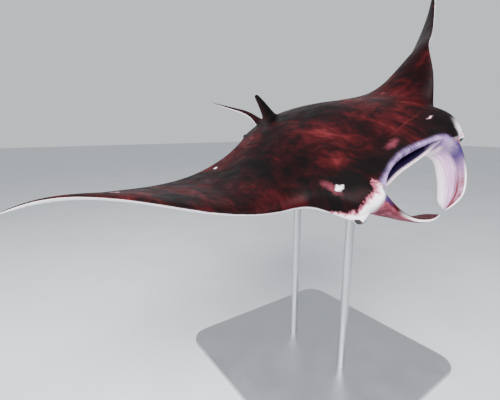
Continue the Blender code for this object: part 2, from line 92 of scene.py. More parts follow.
# %% [markdown]
# ## The outline of the disc
#
# The flat disc is drawn by its leading and trailing edges, how high its back rises and how deep its belly
# hangs. Each is a short list of points, and a smooth cubic runs through them. A section across the wing
# is a thin streamlined shape, and nearer the middle it fills out into the thick body.

# %% Half the disc, laid flat: (distance out from the middle, value)
LEADING_EDGE = ((0.0, -0.058), (0.03, -0.053), (0.068, -0.036), (0.083, -0.026), (0.098, -0.027),
                (0.123, -0.031), (0.132, -0.058), (0.142, -0.09), (0.155, -0.1), (0.2, -0.106), (0.3, -0.13),
                (0.4, -0.19), (0.46, -0.243), (0.5, -0.31))
TRAILING_EDGE = ((0.0, -0.405), (0.05, -0.39), (0.1, -0.366), (0.2, -0.345), (0.3, -0.321), (0.4, -0.283),
                 (0.46, -0.275), (0.5, -0.312))
LEADING_HEIGHT = ((0.0, 0.01), (0.03, 0.013), (0.068, 0.021), (0.083, 0.015), (0.098, 0.007), (0.123, -0.012),
                  (0.132, -0.012), (0.142, -0.002), (0.155, 0.0), (0.5, 0.0))
BACK_HEIGHT = ((0.0, 0.054), (0.03, 0.0535), (0.057, 0.052), (0.08, 0.048), (0.104, 0.042), (0.125, 0.034),
               (0.15, 0.0265), (0.2, 0.0185), (0.25, 0.0135), (0.3, 0.0098), (0.36, 0.0068), (0.42, 0.0045),
               (0.485, 0.0024), (0.5, 0.0014))
BELLY_DEPTH = ((0.0, 0.05), (0.057, 0.048), (0.08, 0.044), (0.104, 0.036), (0.125, 0.027), (0.15, 0.019),
               (0.2, 0.0125), (0.25, 0.0095), (0.3, 0.0072), (0.36, 0.0052), (0.42, 0.0038), (0.485, 0.0023),
               (0.5, 0.0014))

# %% Sections from the leading to the trailing edge: (part of the chord, part of the greatest height)
WING_SECTION = ((0.0, 0.0), (0.03, 0.42), (0.1, 0.72), (0.2, 0.93), (0.32, 1.0), (0.45, 0.96), (0.59, 0.8),
                (0.73, 0.57), (0.87, 0.31), (1.0, 0.12))
BACK_SECTION = ((0.0, 0.25), (0.03, 0.5), (0.1, 0.7), (0.2, 0.87), (0.32, 0.97), (0.45, 1.0), (0.59, 0.93),
                (0.73, 0.74), (0.87, 0.47), (1.0, 0.17))
BELLY_SECTION = ((0.0, 0.25), (0.03, 0.3), (0.1, 0.38), (0.2, 0.62), (0.32, 0.88), (0.45, 1.0), (0.59, 0.9),
                 (0.73, 0.67), (0.87, 0.4), (1.0, 0.15))
BODY_ENDS, WING_STARTS = 0.1, 0.2


def smooth(table, at):
    """A cubic through the table's (place, value) pairs that adds no bumps (Fritsch and Carlson)."""
    places, values = np.array(table, float).T
    widths, slopes = np.diff(places), np.diff(values) / np.diff(places)
    tangents = np.concatenate([slopes[:1], np.zeros(len(slopes) - 1), slopes[-1:]])
    for i in range(1, len(slopes)):
        if slopes[i - 1] * slopes[i] > 0:
            before, after = 2 * widths[i] + widths[i - 1], widths[i] + 2 * widths[i - 1]
            tangents[i] = (before + after) / (before / slopes[i - 1] + after / slopes[i])
    at = min(max(at, places[0]), places[-1])
    i = min(int(np.searchsorted(places, at, "right")) - 1, len(widths) - 1)
    t = (at - places[i]) / widths[i]
    rise = (1 - t) ** 2 * (tangents[i] * widths[i] * t + values[i] * (1 + 2 * t))
    return float(rise + t**2 * (values[i + 1] * (3 - 2 * t) - tangents[i + 1] * widths[i] * (1 - t)))


print("chord at the middle:", round(smooth(LEADING_EDGE, 0) - smooth(TRAILING_EDGE, 0), 3), "of the width")

# %% [markdown]
# ## The pose
#
# A gliding manta bends along its wings. Each section leans up with its wing, twists about the long axis
# and slides a little back. The left wing rises to a vertical tip, and the right one lies low, so each
# side has its own list.

# %% Lean and twist in degrees at stations out from the middle, right side (-1) and left side (1)
LEAN_STATIONS = (0.06, 0.15, 0.25, 0.35, 0.43, 0.5)
LEAN = {-1: (0, 8, 25, 37, 26, 37), 1: (0, -3, 10, 38, 64, 86)}
TWIST_STATIONS = (0.08, 0.14, 0.25, 0.38, 0.5)
TWIST = {-1: (0, 2, 7, 16, 37), 1: (0, 5, 48, 50, 53)}
SWEEP = {-1: -0.005, 1: -0.032}
TWIST_AXIS = -0.25
SWEEP_STARTS, SWEEP_LENGTH = 0.15, 0.35
BEND_STEPS = 40


def span_place(out, side):
    """Where a station lies once its wing has bent: how far out, how high, and its section's lean."""
    steps = np.linspace(0.0, out, BEND_STEPS)
    lean = np.radians([smooth(list(zip(LEAN_STATIONS, LEAN[side])), step) for step in steps])
    middle = (lean[1:] + lean[:-1]) / 2
    length = np.diff(steps)
    return float(np.sum(np.cos(middle) * length)), float(np.sum(np.sin(middle) * length)), float(lean[-1])


def posed(x, out, height, side, place):
    """A point of the flat disc, moved with its section: bent up, swept, and twisted about the long axis."""
    y, z, lean = place
    x += SWEEP[side] * max(out - SWEEP_STARTS, 0.0) ** 1.5 / SWEEP_LENGTH**0.5
    twist = math.radians(smooth(list(zip(TWIST_STATIONS, TWIST[side])), out))
    ahead = x - TWIST_AXIS
    along = ahead * math.cos(twist) - height * math.sin(twist)
    lift = ahead * math.sin(twist) + height * math.cos(twist)
    return Vector((TWIST_AXIS + along, side * (y - math.sin(lean) * lift), z + math.cos(lean) * lift))


print("left wing tip lands at", [round(c, 3) for c in posed(-0.31, 0.5, 0, 1, span_place(0.5, 1))])

# %% [markdown]
# ## The skin's cage: a tube from wing tip to wing tip
#
# The whole disc can be one tube that lies across the animal: its rings are sections of the wing, and its
# sides run from tip to tip. A cylinder without caps is added on its side, and its long edges are
# subdivided into lengths. Every corner then knows its ring and its row, and moves to its place on the
# posed section. Quads all over keep the later subdivision smooth. Corners also carry where they lie on
# the flat disc, which the markings will read.

# %% Stations out from the middle, and rows along the chord
STATIONS = (0.0, 0.012, 0.03, 0.05, 0.068, 0.083, 0.098, 0.123, 0.132, 0.142, 0.162, 0.195, 0.24, 0.3,
            0.36, 0.42, 0.46, 0.485, 0.5)
ROWS = (0.03, 0.1, 0.24, 0.42, 0.62, 0.79, 0.87, 0.94, 1.0)
SPANS = [-out for out in reversed(STATIONS[1:])] + list(STATIONS)
RING_SIZE = 1 + 2 * len(ROWS)
NEAR = 1e-4
FLOATS = ("across", "along", "lobe", "mouth", "tail", "fin", "side")

bpy.ops.object.select_all(action="DESELECT")
bpy.ops.mesh.primitive_cylinder_add(vertices=RING_SIZE, radius=0.5, depth=2.0, end_fill_type="NOTHING",
                                    rotation=(0, math.radians(90), 0))
skin = bpy.context.object
skin.name = "skin"
bpy.ops.object.transform_apply(location=True, rotation=True, scale=True)
bpy.ops.object.mode_set(mode="EDIT")
bpy.ops.mesh.select_mode(type="EDGE")
bpy.ops.mesh.select_all(action="DESELECT")
cage = bmesh.from_edit_mesh(skin.data)
for edge in cage.edges:
    edge.select_set(abs(edge.verts[0].co.x - edge.verts[1].co.x) > 1)
bpy.ops.mesh.subdivide(number_cuts=len(SPANS) - 2)
bpy.ops.mesh.select_mode(type="VERT")
cage = bmesh.from_edit_mesh(skin.data)
print("rings:", len({round(corner.co.x, 3) for corner in cage.verts}), "corners:", len(cage.verts))


# %% Move each ring to its section
def section_points(out, side):
    """(place, side of the body, part of the chord) for one ring: leading edge, back rows, then belly rows."""
    place = span_place(out, side)
    nose, heel = smooth(LEADING_EDGE, out), smooth(TRAILING_EDGE, out)
    wing = min(max((out - BODY_ENDS) / (WING_STARTS - BODY_ENDS), 0.0), 1.0)
    points = [(posed(nose, out, smooth(LEADING_HEIGHT, out), side, place), 0.0, 0.0)]
    for sign, rows, height, section in ((1, ROWS, smooth(BACK_HEIGHT, out), BACK_SECTION),
                                        (-1, ROWS[::-1], -smooth(BELLY_DEPTH, out), BELLY_SECTION)):
        for row in rows:
            shape = smooth(section, row) * (1 - wing) + smooth(WING_SECTION, row) * wing
            where = posed(nose + (heel - nose) * row, out, height * shape, side, place)
            points.append((where, float(sign), row))
    return points


layers = {name: cage.verts.layers.float.new(name) for name in FLOATS}
flat = cage.verts.layers.float_vector.new("flat")
ring_of, row_of = cage.verts.layers.int.new("ring"), cage.verts.layers.int.new("row")
sections = [section_points(abs(span), 1 if span >= 0 else -1) for span in SPANS]
for corner in cage.verts:
    ring = round((corner.co.x + 1) / 2 * (len(SPANS) - 1))
    row = round(math.atan2(corner.co.z, corner.co.y) / math.tau * RING_SIZE) % RING_SIZE
    corner[ring_of], corner[row_of] = ring, row
for corner in cage.verts:
    where, side, chord = sections[corner[ring_of]][corner[row_of]]
    corner.co = where
    corner[layers["side"]] = side
    out = abs(SPANS[corner[ring_of]])
    ahead = smooth(LEADING_EDGE, out) * (1 - chord) + smooth(TRAILING_EDGE, out) * chord
    corner[flat] = Vector((ahead, SPANS[corner[ring_of]], 0))
bmesh.update_edit_mesh(skin.data)


# %% Close the two wing tips with a strip of quads
def ring_corners(cage, ring):
    """One ring's corners in order, before anything has been extruded from it."""
    number, row = cage.verts.layers.int["ring"], cage.verts.layers.int["row"]
    return sorted((corner for corner in cage.verts if corner[number] == ring), key=lambda corner: corner[row])


for ring in (0, len(SPANS) - 1):
    corners = ring_corners(cage, ring)
    for i in range(len(ROWS)):
        strip = [corners[i], corners[i + 1], corners[-i - 1]] + ([corners[-i]] if i else [])
        cage.faces.new(strip)
bmesh.update_edit_mesh(skin.data)
bpy.ops.mesh.select_all(action="SELECT")
bpy.ops.mesh.normals_make_consistent(inside=False)
print("cage faces:", len(bmesh.from_edit_mesh(skin.data).faces))

# %% [markdown]
# ## Growing parts out of the tube
#
# The mouth, lobes, fins and tail are all made alike: a patch of the tube's faces is selected and extruded
# step by step. Extrude copies each corner's own numbers, so every new corner still knows where on the
# patch it sits, and each step can place its corners by a small formula.


# %% Two helpers: select a patch, and grow it
def select_patch(spans, rows):
    """Selects the faces between two stations (lowest, highest) and between two rows of their rings."""
    bpy.ops.mesh.select_mode(type="FACE")
    bpy.ops.mesh.select_all(action="DESELECT")
    cage = bmesh.from_edit_mesh(skin.data)
    ring, row = cage.verts.layers.int["ring"], cage.verts.layers.int["row"]
    wanted_rows = {i % RING_SIZE for i in range(rows[0], rows[1] + 1)}
    wanted = set()
    for corner in cage.verts:
        on_tube = corner[ring] >= 0 and corner[row] in wanted_rows
        if on_tube and spans[0] - NEAR <= SPANS[corner[ring]] <= spans[1] + NEAR:
            wanted.add(corner)
    for face in cage.faces:
        face.select_set(all(corner in wanted for corner in face.verts))
    cage.select_flush_mode()
    return cage


def grow(region, steps, measure, place):
    """Extrudes the selected patch once for each step. measure gives a corner its two numbers on the
    patch, and place turns a step and those numbers into a point. region names the number that runs
    from 0 to 1 outwards."""
    cage = bmesh.from_edit_mesh(skin.data)
    across, along = cage.verts.layers.float["across"], cage.verts.layers.float["along"]
    for corner in cage.verts:
        if corner.select:
            corner[across], corner[along] = measure(cage, corner)
    for count, step in enumerate(steps):
        bpy.ops.mesh.extrude_region_move()
        cage = bmesh.from_edit_mesh(skin.data)
        across, along = cage.verts.layers.float["across"], cage.verts.layers.float["along"]
        reach, ring = cage.verts.layers.float[region], cage.verts.layers.int["ring"]
        for corner in cage.verts:
            if corner.select:
                corner.co = place(step, corner[across], corner[along])
                corner[reach] = (count + 1) / len(steps)
                corner[ring] = -1
    bmesh.update_edit_mesh(skin.data)
    print(region, "grown in", len(steps), "steps")


def row_of_corner(cage, corner):
    row = corner[cage.verts.layers.int["row"]]
    return row - RING_SIZE if row > RING_SIZE // 2 + 1 else row


def span_of_corner(cage, corner):
    return SPANS[corner[cage.verts.layers.int["ring"]]]


# %% [markdown]
# ## The mouth
#
# The mouth spans the front of the head. Its upper rim and lower lip are arches between the two corners,
# and the space between them is pushed in. The jaws are thick pads, so the first steps roll the rim and
# the lip inwards and leave only a slot between them, and the later steps widen again behind it.

# %% Set the rim and the lip, and push the mouth in
MOUTH_CORNER, LOBE_OUTER = 0.068, 0.098
RIM_MIDDLE, LIP_MIDDLE, CORNER = (-0.058, 0.028), (-0.059, -0.009), (-0.036, 0.021)
# (how far in, width, upper edge, lower edge), where 1 is the rim and -1 the lip
MOUTH_STEPS = ((-0.003, 0.975, 0.75, -0.94), (-0.002, 0.955, 0.4, -0.84), (0.003, 0.94, 0.1, -0.72),
               (0.012, 0.92, 0.0, -0.64), (0.03, 0.88, 0.2, -0.6), (0.06, 0.75, 0.4, -0.5),
               (0.08, 0.6, 0.3, -0.4))


def arch(middle, side_way):
    """A point of the rim or lip: its middle, pulled to the mouth's corner as it goes sideways."""
    reach = abs(side_way)
    x = middle[0] + (CORNER[0] - middle[0]) * reach**2
    return Vector((x, side_way * MOUTH_CORNER, middle[1] + (CORNER[1] - middle[1]) * reach**3))


def inside_mouth(step, side_way, height):
    depth, width, upper, lower = step
    rim, lip = arch(RIM_MIDDLE, side_way), arch(LIP_MIDDLE, side_way)
    level = (upper + lower) / 2 + height * (upper - lower) / 2
    point = (rim + lip) / 2 + (rim - lip) / 2 * level
    return Vector((point.x - depth, point.y * width, point.z))


cage = bmesh.from_edit_mesh(skin.data)
for corner in cage.verts:
    span, row = span_of_corner(cage, corner), row_of_corner(cage, corner)
    if abs(span) < MOUTH_CORNER - NEAR and abs(row) <= 1:
        rim, lip = arch(RIM_MIDDLE, span / MOUTH_CORNER), arch(LIP_MIDDLE, span / MOUTH_CORNER)
        corner.co = {1: rim, 0: (rim + lip) / 2, -1: lip}[row]
select_patch((-MOUTH_CORNER, MOUTH_CORNER), (-1, 1))
grow("mouth", MOUTH_STEPS,
     lambda cage, corner: (span_of_corner(cage, corner) / MOUTH_CORNER,
                           row_of_corner(cage, corner)), inside_mouth)

# %% [markdown]
# ## The cephalic lobes
#
# The two lobes are broad flat paddles that hang from the corners of the mouth and curl towards each other
# to steer water in. Each is drawn by its front and its rear edge, as two smooth curves from root to tip.
# Paired points of the curves give the width, and their cross product gives which way the paddle faces.

# %% Grow a lobe on each side
LOBE_FRONT = {1: ((-0.022, 0.081, 0.016), (-0.006, 0.076, -0.005), (0.007, 0.061, -0.024),
                  (0.02, 0.032, -0.04), (0.013, 0.006, -0.048)),
              -1: ((-0.026, 0.079, 0.02), (-0.011, 0.076, -0.002), (0.005, 0.063, -0.024),
                   (0.016, 0.034, -0.04), (0.009, 0.007, -0.052))}
LOBE_REAR = {1: ((-0.056, 0.084, -0.024), (-0.038, 0.06, -0.042), (-0.023, 0.04, -0.057),
                 (-0.014, 0.022, -0.06), (0.003, 0.012, -0.062)),
             -1: ((-0.055, 0.084, -0.024), (-0.038, 0.058, -0.04), (-0.022, 0.037, -0.056),
                  (-0.012, 0.017, -0.056), (0.005, 0.006, -0.058))}
LOBE_STEPS = (0.1, 0.24, 0.4, 0.56, 0.72, 0.88, 1.0)
LOBE_THICKNESS = ((0.0, 0.024), (0.2, 0.014), (0.5, 0.008), (0.85, 0.006), (1.0, 0.004))
LOBE_FULLNESS = ((0.0, 1.0), (0.7, 1.0), (0.88, 0.95), (1.0, 0.72))
LOBE_ROUNDING, LOBE_LOOK_AHEAD = 0.8, 0.02


def smooth_curve(points, at):
    """A point part of the way along a smooth curve through evenly spaced points."""
    steps = np.linspace(0, 1, len(points))
    return Vector([smooth(list(zip(steps, column)), at) for column in zip(*points)])


def paddle_for(side):
    def paddle(step, outward, forward):
        front, rear = smooth_curve(LOBE_FRONT[side], step), smooth_curve(LOBE_REAR[side], step)
        ahead, behind = min(step + LOBE_LOOK_AHEAD, 1), step - LOBE_LOOK_AHEAD
        onward = smooth_curve(LOBE_FRONT[side], ahead) + smooth_curve(LOBE_REAR[side], ahead)
        onward -= smooth_curve(LOBE_FRONT[side], behind) + smooth_curve(LOBE_REAR[side], behind)
        outer = (front - rear).cross(onward).normalized()
        fullness, thickness = smooth(LOBE_FULLNESS, step), smooth(LOBE_THICKNESS, step)
        width = forward * fullness * (LOBE_ROUNDING if outward and forward else 1.0)
        point = (front + rear) / 2 + (front - rear) / 2 * width + outer * outward * thickness / 2
        return Vector((point.x, side * point.y, point.z))
    return paddle


def measure_lobe(cage, corner):
    out = abs(span_of_corner(cage, corner))
    outward = 2 * (out - MOUTH_CORNER) / (LOBE_OUTER - MOUTH_CORNER) - 1
    return round(outward), row_of_corner(cage, corner) + 1


for side in (-1, 1):
    select_patch(sorted((side * MOUTH_CORNER, side * LOBE_OUTER)), (-2, 0))
    grow("lobe", LOBE_STEPS, measure_lobe, paddle_for(side))

# %% [markdown]
# ## Tail, dorsal fin and pelvic fins
#
# The tail is a whip that leaves the middle of the trailing edge, a small swept fin stands just ahead of
# it, and two short pelvic fins flank it. Each grows from its own patch, narrowing step by step.

# %% Grow the tail
TAIL_HALF, PELVIC_INNER, PELVIC_OUTER = 0.012, 0.03, 0.068
# (distance behind the trailing edge, half width, half height)
TAIL_RINGS = ((0.012, 0.0092, 0.0082), (0.03, 0.0072, 0.0068), (0.055, 0.0058, 0.0056),
              (0.085, 0.0048, 0.0048), (0.12, 0.0038, 0.0038), (0.155, 0.0029, 0.0029),
              (0.185, 0.0021, 0.0021), (0.21, 0.0014, 0.0014), (0.225, 0.0009, 0.0009))
TAIL_RISE, TAIL_RISE_LENGTH = 0.02, 0.06
TAIL_SIDE, TAIL_SHOULDER = 0.9, 0.55
TAIL_ROOT = smooth(TRAILING_EDGE, 0.0)


def tail_ring(step, side_way, up):
    behind, half_width, half_height = step
    rise = TAIL_RISE * (1 - (1 - min(behind / TAIL_RISE_LENGTH, 1)) ** 2)
    if side_way:
        return Vector((TAIL_ROOT - behind, side_way * half_width * TAIL_SIDE,
                       rise + up * half_height * TAIL_SHOULDER))
    return Vector((TAIL_ROOT - behind, 0, rise + up * half_height))


def up_or_down(cage, corner):
    return 1 if corner[cage.verts.layers.int["row"]] == len(ROWS) else -1


select_patch((-TAIL_HALF, TAIL_HALF), (len(ROWS), len(ROWS) + 1))
grow("tail", TAIL_RINGS,
     lambda cage, corner: (round(span_of_corner(cage, corner) / TAIL_HALF),
                           up_or_down(cage, corner)), tail_ring)

# %% Grow the dorsal fin: (height over its root, nose, heel, half thickness)
FIN_ROWS, FIN_MIDDLE = (6, 8), 7
FIN_EDGE, FIN_DROOP = 0.4, 0.006
FIN_RINGS = ((0.009, -0.34, -0.39, 0.0055), (0.022, -0.354, -0.393, 0.004), (0.036, -0.37, -0.397, 0.0028),
             (0.049, -0.388, -0.402, 0.0017))
FIN_ROOT = sections[SPANS.index(0.0)][FIN_MIDDLE][0].z


def fin_ring(step, side_way, forward):
    height, nose, heel, half = step
    x = (nose + heel) / 2 + (nose - heel) / 2 * forward
    thin = FIN_EDGE if abs(forward) == 1 else 1.0
    return Vector((x, side_way * half * thin, FIN_ROOT + height - FIN_DROOP * (1 - forward) / 2))


select_patch((-TAIL_HALF, TAIL_HALF), FIN_ROWS)
grow("fin", FIN_RINGS,
     lambda cage, corner: (round(span_of_corner(cage, corner) / TAIL_HALF),
                           FIN_MIDDLE - row_of_corner(cage, corner)), fin_ring)

# %% Grow the pelvic fins: (distance behind the trailing edge, inner side, outer side, half thickness)
PELVIC_RINGS = ((0.016, 0.031, 0.058, 0.0042), (0.028, 0.035, 0.055, 0.003), (0.038, 0.04, 0.05, 0.0018))
PELVIC_DROP, PELVIC_EDGE, PELVIC_ROUNDING = 0.2, 0.6, 0.006
PELVIC_ROOT = smooth(TRAILING_EDGE, PELVIC_OUTER)


def pelvic_for(side):
    def pelvic_ring(step, outward, up):
        behind, inner, outer, half = step
        y = (inner + outer) / 2 + (outer - inner) / 2 * outward
        height = up * half * (PELVIC_EDGE if outward else 1.0) - PELVIC_DROP * behind
        return Vector((PELVIC_ROOT - behind + PELVIC_ROUNDING * abs(outward), side * y, height))
    return pelvic_ring


def measure_pelvic(cage, corner):
    out = abs(span_of_corner(cage, corner))
    outward = 2 * (out - PELVIC_INNER) / (PELVIC_OUTER - PELVIC_INNER) - 1
    return round(outward), up_or_down(cage, corner)


for side in (-1, 1):
    select_patch(sorted((side * PELVIC_INNER, side * PELVIC_OUTER)), (len(ROWS), len(ROWS) + 1))
    grow("fin", PELVIC_RINGS, measure_pelvic, pelvic_for(side))

# %% [markdown]
# ## Round the cage into a skin
#
# The finished cage goes into the room with the matrix from the start, and a Subdivision Surface of three
# levels rounds it. The modifier is applied, because the eyelids are shaped on the fine mesh next.

# %% Place, subdivide and apply
SKIN_LEVELS = 3

bpy.ops.mesh.select_all(action="SELECT")
bpy.ops.mesh.normals_make_consistent(inside=False)
bpy.ops.object.mode_set(mode="OBJECT")
skin.data.transform(TO_ROOM)
rounding = skin.modifiers.new("rounding", "SUBSURF")
rounding.levels = rounding.render_levels = SKIN_LEVELS
bpy.ops.object.modifier_apply(modifier=rounding.name)
bpy.ops.object.shade_smooth()
print("skin:", len(skin.data.polygons), "quads")

# %% [markdown]
# ## Eyelids
#
# A manta's eye bulges from the side of its head under a thick lid. The faces near each eye are subdivided
# once more, so that they can bend round something that small. Each corner then slides outwards along the
# way the eye looks: a little for the soft mound, more where the eyeball lies beneath it. Over the pupil
# it sinks under the eyeball's surface instead, which leaves a round lip of skin.

# %% Make the skin finer near the eyes
LID_THICKNESS, LID_OPENING = 0.0045, 0.72
MOUND_HEIGHT, MOUND_REACH, BLEND = 0.012, 0.085, 0.012
FINE_REACH, FINE_CUTS = 1.8, 3
MOUND_BELOW, MOUND_ABOVE, LID_FALL = -1.5, 2.0, 3.0
LOOKS = {"eye_left": Vector((0.3, 1.0, -0.15)), "eye_right": Vector((0.3, -1.0, -0.15))}

eyes = {}
for name, looks in LOOKS.items():
    low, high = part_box(name)
    eyes[name] = ((low + high) / 2, (high.x - low.x) / 2, (TURN.to_3x3() @ looks).normalized())

bpy.ops.object.mode_set(mode="EDIT")
bpy.ops.mesh.select_mode(type="FACE")
bpy.ops.mesh.select_all(action="DESELECT")
cage = bmesh.from_edit_mesh(skin.data)
for face in cage.faces:
    middle = face.calc_center_median()
    face.select_set(any((middle - centre).length < FINE_REACH * radius
                        for centre, radius, axis in eyes.values()))
bmesh.update_edit_mesh(skin.data)
bpy.ops.mesh.subdivide(number_cuts=FINE_CUTS, smoothness=0.0)
bpy.ops.object.mode_set(mode="OBJECT")
print("skin:", len(skin.data.polygons), "faces")


# %% Slide the corners out over each eyeball
def soft_greater(first, second):
    """The greater of two heights, with a fillet where they meet."""
    near = max(BLEND - abs(first - second), 0) / BLEND
    return max(first, second) + near**2 * BLEND / 4


for name, (centre, radius, axis) in eyes.items():
    lid = radius + LID_THICKNESS
    moved = 0
    for corner in skin.data.vertices:
        away = corner.co - centre
        height = away.dot(axis)
        aside = away - axis * height
        reach = aside.length
        if reach > MOUND_REACH or not MOUND_BELOW * radius < height < MOUND_ABOVE * radius:
            continue
        mound = height + MOUND_HEIGHT * (1 - (reach / MOUND_REACH) ** 2) ** 2
        if reach < LID_OPENING * lid:
            height = math.sqrt(radius**2 - reach**2) - LID_THICKNESS
        else:
            ball = math.sqrt(lid**2 - reach**2) if reach < lid else LID_FALL * (lid - reach)
            height = soft_greater(mound, ball)
        corner.co = centre + aside + axis * height
        moved += 1
    print(name, "corners moved:", moved)
skin.data.update()

# %% Let the skin stand for the flesh
FLESH = [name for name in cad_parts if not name.startswith(("stand_", "eye_"))]
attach(skin, "root")
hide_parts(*FLESH)
print("the skin stands for", len(FLESH), "nodes")

# %% [markdown]
# ## Tools for painting
#
# Procedural colour is a stack of masks and colours. A few helpers keep the node work short: one adds a
# node with its settings, one lays a colour over another through a mask, and the others make masks.


# %% Node helpers
def add_node(tree, kind, inputs=None, **settings):
    """Adds a node. inputs maps a socket to a value, or to another node's output."""
    node = tree.nodes.new(kind)
    for name, value in settings.items():
        setattr(node, name, value)
    for socket, value in (inputs or {}).items():
        if isinstance(value, bpy.types.NodeSocket):
            tree.links.new(value, node.inputs[socket])
        else:
            node.inputs[socket].default_value = value
    return node


def combine(tree, operation, first, second=0.0):
    return add_node(tree, "ShaderNodeMath", {0: first, 1: second}, operation=operation).outputs[0]


def times(tree, first, second):
    return combine(tree, "MULTIPLY", first, second)


def plus(tree, first, second):
    return combine(tree, "ADD", first, second)


def minus(tree, first, second):
    return combine(tree, "SUBTRACT", first, second)


def greater(tree, first, second):
    return combine(tree, "MAXIMUM", first, second)


def size_of(tree, value):
    """The value without its sign."""
    return combine(tree, "ABSOLUTE", value)


def pair(tree, first, second):
    """A point made of two numbers, for a texture to read."""
    return add_node(tree, "ShaderNodeCombineXYZ", {0: first, 1: second}).outputs[0]


def ramp(tree, value, low, high, top=1.0):
    """0 at low, top at high, and smooth between. low may be the larger number."""
    sockets = {"Value": value, "From Min": low, "From Max": high, "To Min": 0.0, "To Max": top}
    return add_node(tree, "ShaderNodeMapRange", sockets, interpolation_type="SMOOTHSTEP").outputs[0]


def lay_over(tree, below, colour, mask):
    """The colour laid over what is below, where the mask is 1."""
    below, colour = (value if isinstance(value, bpy.types.NodeSocket) else (*value, 1.0)
                     for value in (below, colour))
    return add_node(tree, "ShaderNodeMix", {0: mask, 6: below, 7: colour}, data_type="RGBA").outputs[2]


def noise(tree, where, scale, detail=4.0, roughness=0.55, distortion=0.0):
    sockets = {"Vector": where, "Scale": scale, "Detail": detail, "Roughness": roughness,
               "Distortion": distortion}
    return add_node(tree, "ShaderNodeTexNoise", sockets).outputs[0]


def spot(tree, where, centre, size, soft=0.5):
    """1 inside an ellipse with this centre and these half sizes, and a soft rim."""
    moved = add_node(tree, "ShaderNodeMapping", {"Vector": where, "Location": centre, "Scale": size},
                     vector_type="TEXTURE").outputs[0]
    distance = add_node(tree, "ShaderNodeVectorMath", {0: moved}, operation="LENGTH").outputs["Value"]
    return ramp(tree, distance, 1 + soft, 1 - soft)


def body_place(tree):
    """The place on the animal in its own frame: the room's place, with the matrix from the start undone."""
    room = add_node(tree, "ShaderNodeTexCoord").outputs["Object"]
    angles = [math.radians(angle) for angle in (BANK, NOSE_DOWN, HEADING)]
    return add_node(tree, "ShaderNodeMapping", {"Vector": room, "Location": MOUTH_PLACE, "Rotation": angles,
                                                "Scale": [DISC_WIDTH] * 3}, vector_type="TEXTURE").outputs[0]


def new_material(name, roughness, metallic=0.0):
    material = bpy.data.materials.new(name)
    material.use_nodes = True
    shader = material.node_tree.nodes["Principled BSDF"]
    shader.inputs["Roughness"].default_value = roughness
    shader.inputs["Metallic"].default_value = metallic
    return material, material.node_tree, shader


def dress(name, material):
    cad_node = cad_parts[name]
    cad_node.data.materials.clear()
    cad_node.data.materials.append(material)


print("node helpers ready")

# %% [markdown]
# ## The hide
#
# The back is almost black, with dark-red smoke in it, and the belly is white. Each marking is laid over
# the last: first the back's own colours, then the white of belly and edges, the marks, the pale side of
# the head, the lavender mouth and the lobes. Markings at one place on the animal use the body's frame.
# Markings that follow the form use the numbers that each corner of the cage carried along.

# %% Colours, and where each point is
BLACK, MAROON, RED = (0.0014, 0.0003, 0.0004), (0.008, 0.0004, 0.0009), (0.032, 0.002, 0.003)
ROSE, DUSK = (0.1, 0.012, 0.014), (0.13, 0.026, 0.038)
PINK, BLUSH = (0.5, 0.14, 0.2), (0.75, 0.42, 0.52)
WHITE, PEARL, PALATE = (0.93, 0.86, 0.91), (0.8, 0.56, 0.76), (0.25, 0.18, 0.3)
LAVENDER, LILAC = (0.25, 0.16, 0.36), (0.5, 0.26, 0.5)
VIOLET, THROAT_SHADE = (0.035, 0.022, 0.085), (0.01, 0.005, 0.03)
HIDE_ROUGHNESS, HIDE_SHINE = 0.5, 0.08

hide, tree, hide_shader = new_material("hide", HIDE_ROUGHNESS)
hide_shader.inputs["Specular IOR Level"].default_value = HIDE_SHINE
body = body_place(tree)
flat_place = add_node(tree, "ShaderNodeAttribute", attribute_name="flat").outputs["Vector"]
x, y, z = add_node(tree, "ShaderNodeSeparateXYZ", {0: body}).outputs
out = size_of(tree, y)
side, mouth, lobe, across, along, tail = (
    add_node(tree, "ShaderNodeAttribute", attribute_name=name).outputs["Fac"]
    for name in ("side", "mouth", "lobe", "across", "along", "tail"))
print("hide reads the body's frame, the flat disc and 6 numbers of the cage")

# %% The back: smoke of maroon and red over near-black, drawn out along the body
SMOKE_SLANT, SMOKE_STRETCH = 25, 0.55
WIDE_PART, FINE_PART = 0.6, 0.4
PATCH_LIFT, PATCH_SINK, HEAD_SINK = 0.09, 0.12, 0.05

drawn_out = add_node(tree, "ShaderNodeMapping", {
    "Vector": flat_place, "Rotation": (0, 0, math.radians(SMOKE_SLANT)),
    "Scale": (SMOKE_STRETCH, 1.0, 1.0)}).outputs[0]
wide_smoke = noise(tree, drawn_out, 11.0, 5.0, 0.6, 0.6)
fine_smoke = noise(tree, drawn_out, 42.0, 6.0, 0.62, 0.9)
smoke = plus(tree, times(tree, wide_smoke, WIDE_PART), times(tree, fine_smoke, FINE_PART))
shoulder_patch = spot(tree, body, (-0.115, -0.075, 0.045), (0.035, 0.022, 0.05), 0.8)
middle_patch = spot(tree, body, (-0.2, -0.03, 0.045), (0.07, 0.03, 0.05), 0.8)
dark_patch = spot(tree, body, (-0.069, -0.083, 0.03), (0.022, 0.03, 0.03), 0.6)
smoke = plus(tree, smoke, times(tree, greater(tree, shoulder_patch, middle_patch), PATCH_LIFT))
smoke = minus(tree, smoke, times(tree, dark_patch, PATCH_SINK))
smoke = minus(tree, smoke, ramp(tree, x, -0.12, -0.06, HEAD_SINK))
back = lay_over(tree, BLACK, MAROON, ramp(tree, smoke, 0.4, 0.5))
back = lay_over(tree, back, RED, ramp(tree, smoke, 0.49, 0.58, 0.9))
back = lay_over(tree, back, ROSE, ramp(tree, smoke, 0.57, 0.68, 0.85))
print("back mixed from 4 colours")

# %% The belly: white, with gill slits on each side, and a wavering border with the back
GILL_SPACING, GILL_SLANT, GILL_INNER = 0.024, 0.45, 0.05
WAVER = 0.7

